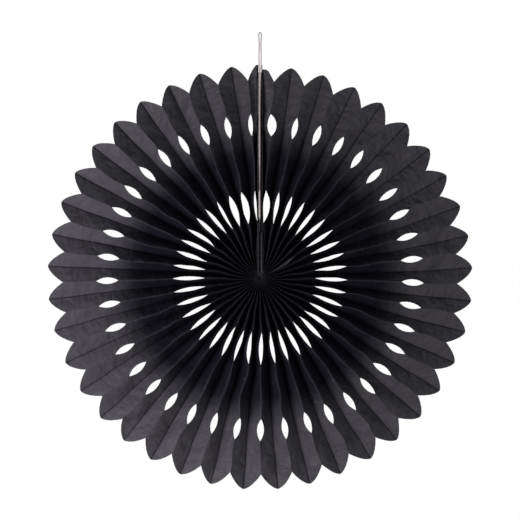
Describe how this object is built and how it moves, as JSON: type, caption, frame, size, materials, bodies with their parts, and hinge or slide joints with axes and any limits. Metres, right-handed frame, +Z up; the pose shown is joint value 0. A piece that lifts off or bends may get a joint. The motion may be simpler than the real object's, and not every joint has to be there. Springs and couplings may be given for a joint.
{
  "type": "paper fan rosette",
  "caption": "Round pleated paper fan rosette with scalloped petal ends and two rings of almond holes, closed at the top by end cards and hung by a doubled thread.",
  "frame": {"origin": "centre of the disc, on its middle plane, where all the folds meet", "axes": "+Y through the disc from front to back, so the front faces -Y; +Z up to the seam and the hanging thread"},
  "size_m": [0.3998, 0.017, 0.4295],
  "materials": {
    "paper": "black crinkled paper with a faint sheen",
    "card": "matte black card",
    "foam": "dark double-sided foam tape",
    "thread": "pale pinkish cotton thread"
  },
  "bodies": {
    "root": {"pleated_paper": "paper", "end_card_left": "card", "end_card_right": "card", "foam_tape": "foam", "centre_tie": "thread", "tie_knot": "thread", "hanging_thread": "thread"}
  },
  "joints": []
}
